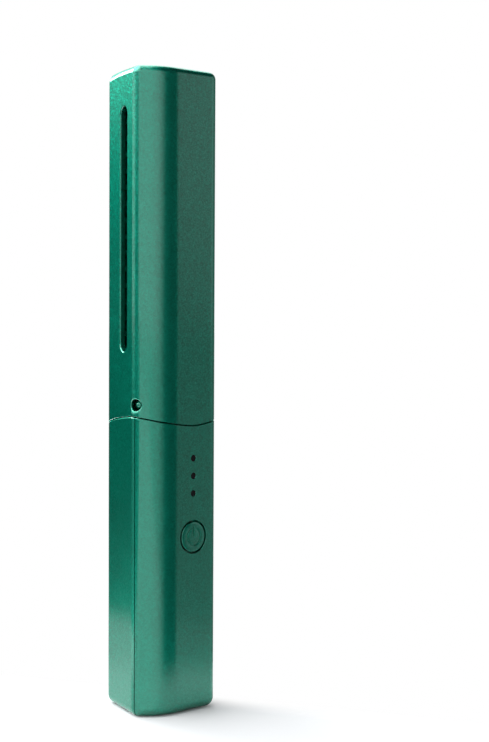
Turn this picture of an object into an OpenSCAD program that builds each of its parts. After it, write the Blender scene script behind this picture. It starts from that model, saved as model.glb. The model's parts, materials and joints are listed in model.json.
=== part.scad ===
// Cordless heated comb with a pull-off cap, standing on its foot.
// The button face looks along -Y, the slotted narrow face along -X, and the teeth point into the far left corner.

/* [Body] */
// Height with the cap on
total_h = 200; // [190:1:215]
// Distance between the two narrow faces
body_w = 29; // [28.2:0.1:30]
// Distance between the two broad faces
body_d = 26.62; // [26.5:0.02:27.6]
// Width of the small facet beside a parting corner
facet_l = 9.6; // [9:0.1:10.5]
// Slope of the small facet in degrees
facet_a = 24.4; // [22:0.2:26]
// Slope of the wide button face in degrees
face_a = 13.6; // [12:0.2:15]
// Rounding of the two parting corners
corner_r = 3; // [2.8:0.1:3.4]
// Rounding of the soft crease on each broad side
crease_r = 15; // [10:0.5:16]
// Rounding of the two blunt corners
edge_r = 3.4; // [3:0.1:4.5]
// Rounding around the foot
foot_r = 3; // [1:0.1:3.2]
// Rounding around the top of the cap
top_r = 2.4; // [1:0.1:2.6]

/* [Walls and fits] */
// Wall of the handle shells
shell_wall = 1.8; // [1.5:0.1:2]
// Floor of the handle
floor_t = 2; // [1.6:0.1:3]
// Wall of the cap
cap_wall = 1.8; // [1.6:0.1:2]
// Gap between cap and collar
cap_gap = 0.35; // [0.3:0.05:0.5]
// Gap between the mouth of the cap and the rim of the handle
seam_gap = 0.3; // [0.3:0.05:0.6]
// Wall of the comb head
head_wall = 1.3; // [1.2:0.1:1.5]
// Wall of the collar
collar_wall = 1.5; // [1.2:0.1:1.8]
// Height that the collar reaches down into the handle
tang_h = 9; // [7:0.5:9]
// Height of the seating band around the foot of the collar
band_h = 3; // [2:0.5:4]
// Thickness of the locating lip along the parting line
lip_t = 0.8; // [0.6:0.1:1]
// Reach of the locating lip past the parting line
lip_l = 1.5; // [1:0.1:2]
// Small clearance between pieces that are seated in one another
seat_gap = 0.1; // [0.05:0.01:0.15]

/* [Seam and collar] */
// Mean height of the wavy seam
seam_h = 91; // [90:0.5:98]
// Height of the collar above the seam
collar_h = 6; // [5.5:0.1:7]
// Softened edge of the collar
collar_edge = 0.6; // [0.4:0.1:1]

/* [Comb] */
// Distance from the top of the comb to the top of the cap
comb_drop = 3.2; // [3:0.1:6]
// Number of gaps between the teeth
gap_n = 15; // [12:1:15]
// Thickness of a tooth at its root
tooth_root = 2.56; // [2.3:0.02:2.8]
// Thickness of a tooth at its tip
tooth_tip = 1.36; // [1.2:0.02:1.8]
// Centre of the lowest gap above the mean seam
gap_first = 24.5; // [24:0.5:27]
// Distance from the top of the comb to the centre of the highest gap
gap_last = 9.62; // [9:0.02:12]
// How far the heater bar stands forward into the roots of the gaps
bar_out = 1; // [0.6:0.1:1.2]
// Radius of the arch over the comb
arch_r = 33; // [30:1:45]
// Place of the top of the arch across the comb
arch_x = 5; // [2:0.5:7]
// Radius of the throat between the lowest tooth and the collar
throat_r = 4.6; // [4:0.1:4.8]
// Height of the throat above the mean seam
throat_h = 14.6; // [14:0.1:15]
// Depth of the throat, as the place of its bottom across the comb
throat_x = -2.6; // [-3:0.1:-2]

/* [Cap details] */
// Distance from the mean seam to the lower end of the slot
slot_foot = 21.7; // [19:0.1:30]
// Width of the slot
slot_w = 5.2; // [4.6:0.1:5.6]
// Distance from the top of the cap to the end of the slot
slot_drop = 11.8; // [10:0.2:20]
// Sideways place of the slot on its face
slot_y = -2.9; // [-3.4:0.1:0]
// Diameter of the two catch holes
catch_hole_d = 3.6; // [3.4:0.1:3.8]
// Height of the catches above the mean seam
catch_h = 5.5; // [5.3:0.1:5.7]
// Diameter of the ball on a catch
catch_ball_d = 2.9; // [2.6:0.1:3]
// How far a ball stands out of the collar
catch_out = 0.65; // [0.5:0.05:0.7]
// Travel of a catch when it is pressed in
catch_travel = 0.7; // [0.5:0.05:0.7]
// Diameter of the stem of a catch
catch_stem_d = 1; // [0.8:0.1:1.2]
// Gap beside the stem and the ball of a catch
catch_slit = 0.45; // [0.35:0.05:0.5]

/* [Button and lights] */
// Diameter of the power button
button_d = 9.3; // [8.5:0.1:9.6]
// Gap around the power button
button_gap = 0.6; // [0.4:0.05:0.7]
// Distance from the mean seam down to the button's centre
button_drop = 36; // [35:0.5:40]
// Sideways place of the button and the lights
button_x = 2.2; // [1.8:0.1:2.4]
// Travel of the button
button_travel = 0.4; // [0.2:0.05:0.4]
// Depth of the engraved power symbol
symbol_depth = 0.25; // [0.15:0.05:0.4]
// Radius of the symbol's ring
symbol_r = 2.6; // [2:0.1:3]
// Width of the symbol's strokes
symbol_w = 0.55; // [0.4:0.05:0.8]
// Number of lights
light_n = 3; // [2:1:4]
// Distance between the lights
light_pitch = 5.5; // [5:0.1:6]
// Distance from the mean seam down to the highest light
light_drop = 11.4; // [11:0.1:11.8]
// Diameter of a light
light_d = 1.9; // [1.5:0.1:2.2]

/* [Battery and boards] */
// Distance between the broad faces that the cell leaves to the walls, the board and the switch
cell_room = 8.32; // [8.3:0.02:9]
// Distance from the foot of the collar down to the top of the cell
cell_drop = 7; // [7:0.5:9]
// Thickness of the wrap around the cell
wrap_t = 0.15; // [0.1:0.05:0.2]
// Height of the underside of the cell
cell_z = 11; // [11:0.5:12]
// Thickness of the main board
board_t = 0.8; // [0.6:0.1:0.8]
// Width of the main board
board_w = 17.5; // [17:0.1:18]
// Height of the lower edge of the main board
board_z = 20; // [18:0.5:22]
// Distance from the foot of the collar down to the main board
board_drop = 1; // [1:0.1:2]
// Length of the charging board
charge_l = 18; // [16:0.5:18]
// Width of the charging board
charge_w = 10; // [9:0.5:10]
// Length of the charging socket along its insertion
usb_l = 7.3; // [6.8:0.1:7.3]
// Width of the charging socket
usb_w = 8.94; // [8.9:0.01:9]
// Thickness of the charging socket
usb_t = 3.2; // [3.1:0.05:3.3]

/* [Hidden] */
$fn = 48;
lacquer = "#1d6b57";
plastic_black = "#1b1c1e";
metal = "#b9bcc0";
board_green = "#1f5a38";
// Chords along each rounded corner of a section
arc_steps = 6;
// Smallest rounding of an inset section
least_r = 0.4;
// More than the object measures, for cuts that run past it
far = 60;

// Half of the corners of the body's section, which a half turn completes
face_d = body_d / 2;
facet_end_x = -body_w / 2 + facet_l * cos(facet_a);
facet_end = [facet_end_x, (facet_end_x * sin(face_a) - face_d) / cos(face_a)];
corner_y = -facet_end[1] - facet_l * sin(facet_a);
half_corners = [[-body_w / 2, -corner_y], facet_end,
    [body_w / 2, facet_end[1] + (body_w / 2 - facet_end[0]) * tan(face_a)]];
body_corners = [each half_corners, each -half_corners];
body_radii = [corner_r, crease_r, edge_r, corner_r, crease_r, edge_r];
// Direction of the parting plane, from one sharper corner to the other
part_a = atan2(corner_y, body_w / 2);
collar_inset = cap_wall + cap_gap;
// Heights of the seam around the axis, as angle and height over the mean
seam_marks = [[36, 2.1], [52, 1.1], [72, -0.6], [109, -2.8], [133, -4.6], [147, -1.4], [160, -0.1],
    [180, 0.8], [198, 1.4], [216, 1.7], [245, 0.2], [278, -1.1], [299, -1.3], [320, -0.4], [340, 0.6]];
seam_low = seam_h + min([for (m = seam_marks) m[1]]);
// The collar's edge rises this much for each step of the seam
collar_follow = 0.6;
shoulder_z = seam_h + 12.5;
comb_top = total_h - comb_drop;
tang_z = seam_h - tang_h;
button_z = seam_h - button_drop;
light_z = seam_h - light_drop - (light_n - 1) * light_pitch;
slot_l = total_h - slot_drop - seam_h - slot_foot;
cell_l = tang_z - cell_drop - cell_z;
board_l = tang_z - board_drop - board_z;

// Corners of the comb head's section: tip, far face, spine and near face
head_corners = [[-11.2, 6.6], [0, -0.4], [11, -6.4], [11, 9.2], [3, 9.8], [-11.2, 8.2]];
head_radii = [0.6, 60, 3, 2.4, 30, 0.6];
// Roots of the gaps on the near and the far face, measured from the spine corner and the far bend
root_near = head_corners[3] + 2.3 * unit(head_corners[4] - head_corners[3]);
root_far = head_corners[1] + 3.75 * unit(head_corners[0] - head_corners[1]);
root_mid = (root_near + root_far) / 2;
root_a = atan2(root_near[1] - root_far[1], root_near[0] - root_far[0]);
// Way from the root of a gap to the tips
gap_reach = 9.3;
gap_z0 = seam_h + gap_first;
tooth_pitch = (comb_top - gap_last - gap_z0) / (gap_n - 1);
gap_root = tooth_pitch - tooth_root;
gap_tip = tooth_pitch - tooth_tip;
// Way that the heater reaches past the outer gaps
heater_over = 3.5;
heater_z0 = gap_z0 - heater_over;
heater_z1 = gap_z0 + (gap_n - 1) * tooth_pitch + heater_over;
bar_t = 2.6;
heater_t = 1.3;
mica_t = 0.4;
clamp_t = 1;
stack_end = -bar_t - heater_t - mica_t;
heater_x = [-2.9, 3.9];
fuse_d = 2.4;
fuse_l = 7;
fuse_at = [-0.2, stack_end - clamp_t - fuse_d / 2 - seat_gap];
thermistor_d = 1.8;
thermistor_at = [2, stack_end - clamp_t - thermistor_d / 2 - seat_gap];
thermistor_l = 4;
thermistor_z = (heater_z0 + heater_z1) / 2;
lead_d = 1.1;
// Places of the leads: over the board's edge, where they pass the collar, and below the heater
heater_lead_x = 2;
sensor_lead_x = 6.6;
heater_pass = [4.6, -1.2];
sensor_pass = [8.2, -1.4];
pass_z = seam_h + 1.5;
lead_turn = heater_z0 - 6;

// Places through the wall at the button face, where -y is outward
wall_in = -face_d + shell_wall;
flange_t = 0.6;
flange_d = button_d + 2 * button_gap + 1.4;
flange_y = wall_in + 0.35;
cell_d = body_d - cell_room;
cell_y = face_d - shell_wall - cell_d / 2 - wrap_t - 0.35;
board_back = cell_y - cell_d / 2 - wrap_t - seat_gap;
board_front = board_back - board_t;
switch_w = 5.1;
switch_t = 1.2;
// The plunger stands out of the switch by the travel of the button
plunger_out = button_travel;
plunger_d = 2.4;
plunger_l = 0.7;
plunger_y = board_front - switch_t - plunger_out;
post_y = plunger_y - seat_gap;
// Width, height and thickness of a light-emitting diode
led = [0.8, 1.6, 0.6];
guide_y = board_front - led[2] - 0.3;
guide_t = 0.8;
guide_w = 3.2;
// Sizes of the pieces on the board: width, height and thickness
chip = [5, 5, 0.9];
transistor = [6, 5, 1];
inductor = [6, 6, 2.4];
capacitor = [3.2, 1.6, 0.8];
// Their places sideways, and as shares of the height of the board
chip_x = -4.6;
chip_up = 0.795;
transistor_x = -4.4;
transistor_up = 0.336;
inductor_x = 2.4;
inductor_up = 0.246;
capacitor_x = -5;
capacitors_up = [0.144, 0.439, 0.702, 0.872];
screw_at = [[-7, board_z + 4], [7.2, board_z + 4], [-7, board_z + board_l - 4]];
boss_d = 3.6;
rib_t = 1.5;
screw_d = 1.4;
charge_t = 1;
charge_z = cell_z - 3.1;
// Sheet of the socket's shell, and the width and thickness of its tongue
usb_sheet = 0.3;
tongue = [6.6, 0.7];
cell_top = cell_z + cell_l;
// Length, width and thickness of a battery tab
tab = [9, 4, 0.2];
terminal_h = 1;
terminal_d = 6;
pad_d = 10;
foam_t = 1.8;
// Distance from the back of the main board to the middle of a lead that runs along it
lead_off = lead_d / 2 + 1.2;

function unit(v) = v / norm(v);
function middle(ring) = [for (axis = [0:2]) sum([for (p = ring) p[axis]]) / len(ring)];
function sum(list, i = 0) = i < len(list) ? list[i] + sum(list, i + 1) : 0;

// Corner i of a convex outline after all sides move inward by d
function inset_corner(outline, i, d) =
    let (n = len(outline), c = outline[i],
        u = unit(outline[(i + n - 1) % n] - c), w = unit(outline[(i + 1) % n] - c))
    c + (u + w) * d / abs(u[0] * w[1] - u[1] * w[0]);

// Centre of the rounding at corner c between its neighbours
function arc_centre(before, c, after, r) =
    let (u = unit(before - c), w = unit(after - c))
    c + unit(u + w) * r / sin(acos(u * w) / 2);

function arc_points(before, c, after, r) =
    let (u = unit(before - c), w = unit(after - c), o = arc_centre(before, c, after, r),
        turn = 180 - acos(u * w), start = atan2(u[0], -u[1]))
    [for (k = [0:arc_steps]) let (a = start + turn * k / arc_steps) o + r * [cos(a), sin(a)]];

// Rounded outline, moved inward by d
function rounded(outline, radii, d) =
    let (n = len(outline), c = [for (i = [0:n - 1]) inset_corner(outline, i, d)])
    [for (i = [0:n - 1]) each arc_points(c[(i + n - 1) % n], c[i], c[(i + 1) % n], max(radii[i] - d, least_r))];

function body_section(d) = rounded(body_corners, body_radii, d);
function flat_ring(section, z) = [for (p = section) [p[0], p[1], z]];

// Smooth closed curve through the marks of the seam
function mark(i) =
    let (n = len(seam_marks), turns = floor(i / n), m = seam_marks[i - n * turns])
    [m[0] + 360 * turns, m[1]];
function mark_slope(i) = (mark(i + 1)[1] - mark(i - 1)[1]) / (mark(i + 1)[0] - mark(i - 1)[0]);
function mark_before(a) = max([for (i = [0:len(seam_marks) - 1]) if (mark(i)[0] <= a) i]);
function seam_wave(p) =
    let (raw = atan2(p[1], p[0]), a = raw < seam_marks[0][0] ? raw + 360 : raw,
        i = mark_before(a), m = mark(i), n = mark(i + 1), d = n[0] - m[0], t = (a - m[0]) / d)
    (2 * pow(t, 3) - 3 * pow(t, 2) + 1) * m[1] + (pow(t, 3) - 2 * pow(t, 2) + t) * d * mark_slope(i)
    + (3 * pow(t, 2) - 2 * pow(t, 3)) * n[1] + (pow(t, 3) - pow(t, 2)) * d * mark_slope(i + 1);
function seam_ring(d, lift) = [for (p = body_section(d)) [p[0], p[1], seam_h + seam_wave(p) + lift]];
function collar_ring(d, lift) =
    [for (p = body_section(d)) [p[0], p[1], seam_h + 1 + collar_h + collar_follow * (seam_wave(p) - 1.7) + lift]];

// Where the line through a and b meets the line through c and e
function crossing(a, b, c, e) =
    let (u = b - a, w = e - c, s = ((c[0] - a[0]) * w[1] - (c[1] - a[1]) * w[0]) / (u[0] * w[1] - u[1] * w[0]))
    a + s * u;

// Outline of the hollow for the heater, of which the bar closes the front
function head_hollow() =
    let (tip = inset_corner(head_corners, 0, head_wall), bend = inset_corner(head_corners, 1, head_wall),
        far_spine = inset_corner(head_corners, 2, head_wall), near_spine = inset_corner(head_corners, 3, head_wall),
        near_bend = inset_corner(head_corners, 4, head_wall),
        seat = bar_out * [-sin(root_a), cos(root_a)], near = root_near + seat, away = root_far + seat)
    [crossing(tip, bend, near, away), bend, far_spine, near_spine, crossing(near_spine, near_bend, near, away)];

// Place of a point along the line through the roots of the gaps
function along_roots(p) = (p - root_mid) * [cos(root_a), sin(root_a)];

// Closed solid through a stack of rings with equally many points
module loft(rings, flat_foot, flat_head) {
    n = len(rings[0]);
    m = len(rings);
    foot = m * n;
    points = [for (ring = rings) each ring];
    bands = [for (j = [0:m - 2]) for (i = [0:n - 1])
        let (a = j * n + i, b = j * n + (i + 1) % n, c = b + n, d = a + n,
            bend = cross(points[b] - points[a], points[d] - points[a]) * (points[c] - points[a]))
        each abs(bend) < 1e-6 ? [[a, d, c, b]] : [[a, d, c], [a, c, b]]];
    foot_face = flat_foot ? [[for (i = [0:n - 1]) i]] : [for (i = [0:n - 1]) [foot, i, (i + 1) % n]];
    head_face = flat_head ? [[for (i = [n - 1:-1:0]) (m - 1) * n + i]]
        : [for (i = [0:n - 1]) [foot + 1, (m - 1) * n + (i + 1) % n, (m - 1) * n + i]];
    polyhedron(points = [each points, middle(rings[0]), middle(rings[m - 1])],
        faces = [each foot_face, each bands, each head_face]);
}

// The frame in which the button face looks along -y
module face_frame() {
    rotate([0, 0, face_a]) children();
}

// The frame at the roots of the gaps, where y points toward the tips
module root_frame() {
    translate([root_mid[0], root_mid[1], 0]) rotate([0, 0, root_a]) children();
}

// The frame at a parting corner, where x points outward through the rounding's centre
module corner_frame(i) {
    c = body_corners[i];
    before = body_corners[(i + 5) % 6];
    after = body_corners[(i + 1) % 6];
    o = arc_centre(before, c, after, corner_r);
    translate([o[0], o[1], 0]) rotate([0, 0, atan2(c[1] - o[1], c[0] - o[0])]) children();
}

// Half space on one side of the parting plane: -1 is the button side
module parting_side(side) {
    rotate([0, 0, part_a]) translate([-far, side < 0 ? -far : 0, -far]) cube([2 * far, far, total_h + 2 * far]);
}

// Box of which y runs from y0 to y1, centred on x
module slab(x, y0, y1, z0, z1, w) {
    translate([x - w / 2, min(y0, y1), z0]) cube([w, abs(y1 - y0), z1 - z0]);
}

// Piece soldered on the front of the main board, sideways at x and at height z
module soldered(size, x, z) {
    face_frame() slab(x, board_front - size[2], board_front, z - size[1] / 2, z + size[1] / 2, size[0]);
}

function board_height(share) = board_z + share * board_l;

// Round bar along y from y0 to y1
module bar_y(x, z, y0, y1, d) {
    translate([x, max(y0, y1), z]) rotate([90, 0, 0]) cylinder(d = d, h = abs(y1 - y0));
}

// Round wire along a chain of points
module wire(points, d) {
    for (i = [0:len(points) - 2]) {
        v = points[i + 1] - points[i];
        translate(points[i]) rotate([0, acos(v[2] / norm(v)), atan2(v[1], v[0])]) cylinder(d = d, h = norm(v), $fn = 16);
        if (i > 0) translate(points[i]) sphere(d = 1.1 * d, $fn = 16);
    }
}

module stadium(l, w) {
    square([l - w, w], center = true);
    for (side = [-1, 1]) translate([side * (l - w) / 2, 0]) circle(d = w);
}

function rounding_up(r) = [for (k = [0:4]) let (a = k * 22.5) [r * (1 - sin(a)), r * (1 - cos(a))]];

module handle_tube() {
    difference() {
        loft([for (k = rounding_up(foot_r)) flat_ring(body_section(k[0]), k[1]), seam_ring(0, 0)], true, false);
        translate([0, 0, floor_t]) linear_extrude(total_h) polygon(body_section(shell_wall));
        translate([0, 0, -1]) rotate([0, 0, part_a]) linear_extrude(floor_t + 2)
            stadium(usb_w + 2 * seat_gap, usb_t + 2 * seat_gap);
    }
}

module front_shell() color(lacquer) {
    difference() {
        union() {
            intersection() {
                handle_tube();
                parting_side(-1);
            }
            locating_lip();
            face_frame() for (at = screw_at) bar_y(at[0], at[1], wall_in - 0.3, board_front, boss_d);
        }
        face_frame() {
            bar_y(button_x, button_z, -far, wall_in + 0.2, button_d + 2 * button_gap);
            for (k = [0:light_n - 1])
                bar_y(button_x, light_z + k * light_pitch, -far, wall_in + 0.2, light_d + seat_gap);
            for (at = screw_at) bar_y(at[0], at[1], wall_in + 0.6, board_front + 1, screw_d);
        }
    }
}

// Lip inside both parting corners that lines the shells up
module locating_lip() {
    translate([0, 0, floor_t]) {
        linear_extrude(tang_z - floor_t - 1) intersection() {
            difference() {
                polygon(body_section(shell_wall - 0.3));
                polygon(body_section(shell_wall + lip_t));
            }
            rotate(part_a) translate([-far, -lip_l]) square([2 * far, lip_l]);
        }
        linear_extrude(tang_z - floor_t - 1) intersection() {
            difference() {
                polygon(body_section(shell_wall + seat_gap));
                polygon(body_section(shell_wall + lip_t));
            }
            rotate(part_a) translate([-far, -0.2]) square([2 * far, lip_l + 0.2]);
        }
    }
}

module rear_shell() color(lacquer) {
    intersection() {
        handle_tube();
        parting_side(1);
    }
    for (z = [cell_z + 10, cell_z + cell_l - 12]) cradle_rib(z);
    cell_stop();
}

// Rib that carries the cell from behind
module cradle_rib(z) {
    translate([0, 0, z]) linear_extrude(rib_t) difference() {
        intersection() {
            polygon(body_section(shell_wall - 0.3));
            rotate(part_a) translate([-far, 2 * lip_l]) square([2 * far, far]);
            rotate(face_a) translate([-far, cell_y]) square([2 * far, far]);
        }
        rotate(face_a) translate([0, cell_y]) circle(d = cell_d + 2 * wrap_t + 2 * seat_gap, $fn = 96);
    }
}

// Shelf over the cell
module cell_stop() {
    translate([0, 0, cell_top + terminal_h + tab[2] + foam_t]) linear_extrude(rib_t) intersection() {
        polygon(body_section(shell_wall - 0.3));
        rotate(part_a) translate([-far, 2 * lip_l]) square([2 * far, far]);
    }
}

module cap() color(lacquer) {
    difference() {
        loft([seam_ring(0, seam_gap),
            for (k = [4:-1:0]) let (s = rounding_up(top_r)[k]) flat_ring(body_section(s[0]), total_h - s[1])],
            false, true);
        translate([0, 0, seam_low - 10]) linear_extrude(total_h - cap_wall - seam_low + 10)
            polygon(body_section(cap_wall));
        translate([-body_w / 2 - 1, slot_y, total_h - slot_drop - slot_l / 2]) rotate([90, 90, 90])
            linear_extrude(cap_wall + 2) stadium(slot_l, slot_w);
        for (i = [0, 3]) corner_frame(i) catch_passage();
    }
}

// Catch hole, with the groove that leads the ball up to it
module catch_passage() {
    translate([corner_r - cap_wall - 1, 0, seam_h + catch_h]) rotate([0, 90, 0]) cylinder(d = catch_hole_d, h = 5);
    translate([corner_r - cap_wall - 1, -catch_hole_d / 2, seam_h - 5])
        cube([1 + catch_out - 0.05, catch_hole_d, catch_h + 5]);
}

module comb_head() {
    difference() {
        loft([flat_ring(body_section(shell_wall), tang_z), flat_ring(body_section(shell_wall), tang_z + band_h),
            flat_ring(body_section(collar_inset), tang_z + band_h),
            collar_ring(collar_inset, -collar_edge), collar_ring(collar_inset + collar_edge, 0),
            flat_ring(rounded(head_corners, head_radii, 0), shoulder_z),
            flat_ring(rounded(head_corners, head_radii, 0), comb_top + 1)], true, true);
        arch_cut();
        throat_cut();
        for (k = [0:gap_n - 1]) gap_cut(gap_z0 + k * tooth_pitch);
        translate([0, 0, tang_z - 1]) linear_extrude(tang_h + collar_h - 3.5)
            polygon(body_section(collar_inset + collar_wall));
        translate([0, 0, heater_z0]) linear_extrude(heater_z1 - heater_z0) polygon(head_hollow());
        wire_channel();
        for (i = [0, 3]) corner_frame(i) catch_pocket();
    }
}

module arch_cut() {
    translate([0, 0, comb_top - arch_r]) difference() {
        translate([-far, -far, 0]) cube([2 * far, 2 * far, far]);
        translate([arch_x, far, 0]) rotate([90, 0, 0]) cylinder(r = arch_r, h = 2 * far, $fn = 180);
    }
}

module throat_cut() {
    z = seam_h + throat_h;
    x = throat_x - throat_r;
    translate([0, far, 0]) rotate([90, 0, 0]) linear_extrude(2 * far) {
        translate([x, z]) circle(r = throat_r, $fn = 64);
        polygon([[x, z + throat_r], [-far, z + throat_r + 1], [-far, seam_h + 8], [-12, seam_h + 8], [x, z - throat_r]]);
    }
}

// One gap between two teeth, round at its root and wider toward the tips
module gap_cut(z) {
    g = gap_root / 2;
    root_frame() translate([-far / 2, 0, z]) rotate([90, 0, 90]) linear_extrude(far) {
        translate([g, 0]) circle(r = g, $fn = 32);
        polygon([[g, -g], [2 * gap_reach, -g - (gap_tip - gap_root)], [2 * gap_reach, g + gap_tip - gap_root], [g, g]]);
    }
}

module wire_channel() {
    translate([2.4, -3, seam_h]) cube([7, 9, heater_z0 - seam_h + 0.1]);
}

module catch_pocket() {
    outer = corner_r - collar_inset;
    depth = catch_ball_d - catch_out + catch_travel + catch_slit;
    translate([outer - depth, 0, seam_h + catch_h]) rotate([0, 90, 0])
        cylinder(d = catch_ball_d + 2 * catch_slit, h = depth + 2);
    translate([outer - depth, -catch_stem_d / 2 - catch_slit, catch_foot() - catch_slit])
        cube([depth + 2, catch_stem_d + 2 * catch_slit, seam_h + catch_h - catch_foot() + catch_slit]);
}

function catch_foot() = seam_h + 0.6;

module comb_shell() color(lacquer) {
    intersection() {
        comb_head();
        parting_side(1);
    }
}

module spine_shell() color(lacquer) {
    intersection() {
        comb_head();
        parting_side(-1);
    }
}

// Ball and stem of a catch, outward along x
module catch_tongue() {
    ball_x = corner_r - collar_inset + catch_out - catch_ball_d / 2;
    translate([ball_x, 0, seam_h + catch_h]) sphere(d = catch_ball_d);
    translate([ball_x, 0, catch_foot()]) cylinder(d = catch_stem_d, h = catch_h + seam_h - catch_foot());
}

module catch_left() color(lacquer) corner_frame(0) catch_tongue();

module catch_right() color(lacquer) corner_frame(3) catch_tongue();

module heater_bar() color(plastic_black) {
    far_end = along_roots(head_hollow()[0]);
    near_end = along_roots(head_hollow()[4]);
    root_frame() translate([0, 0, heater_z0 + seat_gap]) linear_extrude(heater_z1 - heater_z0 - 2 * seat_gap)
        polygon([[far_end + seat_gap, bar_out], [heater_x[0] - 1.4, -bar_t], [heater_x[1] + 0.6, -bar_t],
            [near_end - seat_gap, bar_out]]);
}

module ceramic_heater() color("#e9e5da") {
    root_frame() translate([heater_x[0], -bar_t - heater_t, heater_z0 + 2])
        cube([heater_x[1] - heater_x[0], heater_t, heater_z1 - heater_z0 - 4]);
}

module mica_sheet() color("#c9b27a") {
    root_frame() translate([heater_x[0], stack_end, heater_z0 + 1])
        cube([heater_x[1] - heater_x[0], mica_t, heater_z1 - heater_z0 - 2]);
}

// Bracket that presses the stack on the bar, with feet on the wall of the spine
module heater_clamp() color("#3b3b3d") {
    intersection() {
        root_frame() {
            translate([heater_x[0] + 0.6, stack_end - clamp_t, heater_z0 + 1])
                cube([heater_x[1] - heater_x[0] - 0.6, clamp_t, heater_z1 - heater_z0 - 2]);
            for (z = [heater_z0 + 6, heater_z1 - 14])
                translate([heater_x[1] - 1, stack_end - far, z]) cube([1.4, far - clamp_t / 2, 8]);
        }
        translate([0, 0, heater_z0]) linear_extrude(heater_z1 - heater_z0) polygon(head_hollow());
    }
}

module thermal_fuse() color("#d8d3c6") {
    root_frame() translate([fuse_at[0], fuse_at[1], heater_z0 + 8]) cylinder(d = fuse_d, h = fuse_l);
}

module thermistor() color("#2c3f6b") {
    root_frame() translate([thermistor_at[0], thermistor_at[1], thermistor_z]) cylinder(d = thermistor_d, h = thermistor_l);
}

// Point over the main board's upper edge, x along the board
function board_edge(x) =
    let (y = board_front + board_t / 2) [x * cos(face_a) - y * sin(face_a), x * sin(face_a) + y * cos(face_a), board_z + board_l];
// Point in the frame of the gap roots
function root_point(x, y, z) =
    [root_mid[0] + x * cos(root_a) - y * sin(root_a), root_mid[1] + x * sin(root_a) + y * cos(root_a), z];

module heater_leads() color("#b8231e") {
    y = -bar_t - heater_t / 2;
    for (x = [-1.4, 1.4]) {
        start = board_edge(heater_lead_x + 1.4 * x);
        top = root_point(x, y, heater_z0 + 2);
        wire([start, start + [0, 0, 2], [heater_pass[0] + x, heater_pass[1], pass_z], [top[0], top[1], lead_turn], top],
            lead_d);
    }
}

module sensor_leads() color("#e8e6df") {
    start = board_edge(sensor_lead_x);
    top = root_point(thermistor_at[0], thermistor_at[1], thermistor_z);
    wire([start, start + [0, 0, 2], [sensor_pass[0], sensor_pass[1], pass_z], [top[0], top[1], lead_turn], top], lead_d);
}

module power_button() color(lacquer) {
    face_frame() difference() {
        union() {
            bar_y(button_x, button_z, -face_d, flange_y + flange_t, button_d);
            bar_y(button_x, button_z, flange_y, flange_y + flange_t, flange_d);
            bar_y(button_x, button_z, flange_y, post_y, 3);
        }
        power_symbol();
    }
}

// Open ring with a stroke, cut into the face of the button
module power_symbol() {
    translate([button_x, -face_d + symbol_depth, button_z]) rotate([90, 0, 0]) linear_extrude(1) {
        difference() {
            circle(r = symbol_r + symbol_w / 2);
            circle(r = symbol_r - symbol_w / 2);
            polygon([[0, 0], [-symbol_r, 1.6 * symbol_r], [symbol_r, 1.6 * symbol_r]]);
        }
        translate([-symbol_w / 2, 0.1]) square([symbol_w, symbol_r + 0.6]);
    }
}

module light_guide() color("#101112") {
    top = light_z + (light_n - 1) * light_pitch;
    face_frame() {
        for (k = [0:light_n - 1])
            bar_y(button_x, light_z + k * light_pitch, -face_d + 0.1, guide_y - guide_t / 2, light_d);
        slab(button_x, guide_y - guide_t, guide_y, light_z - guide_w / 2, top + guide_w / 2, guide_w);
    }
}

module status_leds() color("#f3f0e2") {
    for (k = [0:light_n - 1]) soldered(led, button_x, light_z + k * light_pitch);
}

module main_board() color(board_green) {
    face_frame() difference() {
        slab(0.2, board_front, board_back, board_z, board_z + board_l, board_w);
        for (at = screw_at) bar_y(at[0], at[1], board_front - 1, board_back + 1, screw_d + 2 * seat_gap);
    }
}

module switch_body() color(plastic_black) {
    face_frame() difference() {
        slab(button_x, board_front - switch_t, board_front, button_z - switch_w / 2, button_z + switch_w / 2, switch_w);
        bar_y(button_x, button_z, board_front - switch_t - 1, board_front - 0.3, plunger_d + seat_gap);
    }
}

module switch_plunger() color("#d9d9d6") {
    face_frame() bar_y(button_x, button_z, plunger_y, plunger_y + plunger_l, plunger_d);
}

module control_chip() color(plastic_black) soldered(chip, chip_x, board_height(chip_up));

module heater_transistor() color(plastic_black)
    soldered(transistor, transistor_x, board_height(transistor_up));

module boost_inductor() color("#4a4a4c") soldered(inductor, inductor_x, board_height(inductor_up));

module board_capacitors() color("#b58a5a") {
    for (up = capacitors_up) soldered(capacitor, capacitor_x, board_height(up));
}

// Screws that hold the main board on the bosses
module board_screws() color(metal) {
    face_frame() for (at = screw_at) {
        bar_y(at[0], at[1], board_front - 1.8, board_back, screw_d);
        difference() {
            bar_y(at[0], at[1], board_back, board_back + 0.8, 2.6);
            slab(at[0], board_back + 0.4, board_back + 1, at[1] - 0.9, at[1] + 0.9, 0.4);
            slab(at[0], board_back + 0.4, board_back + 1, at[1] - 0.2, at[1] + 0.2, 1.8);
        }
    }
}

module battery_cell() color(metal) {
    face_frame() translate([0, cell_y, cell_z]) {
        cylinder(d = cell_d, h = cell_l, $fn = 96);
        cylinder(d = terminal_d, h = cell_l + terminal_h);
    }
}

module battery_wrap() color("#2a5fa8") {
    face_frame() translate([0, cell_y, cell_z]) difference() {
        cylinder(d = cell_d + 2 * wrap_t, h = cell_l, $fn = 96);
        translate([0, 0, -1]) cylinder(d = cell_d, h = cell_l + 2, $fn = 96);
    }
}

module battery_tabs() color(metal) {
    face_frame() for (z = [cell_z - tab[2], cell_top + terminal_h])
        slab(4, cell_y - tab[1] / 2, cell_y + tab[1] / 2, z, z + tab[2], tab[0]);
}

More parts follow.
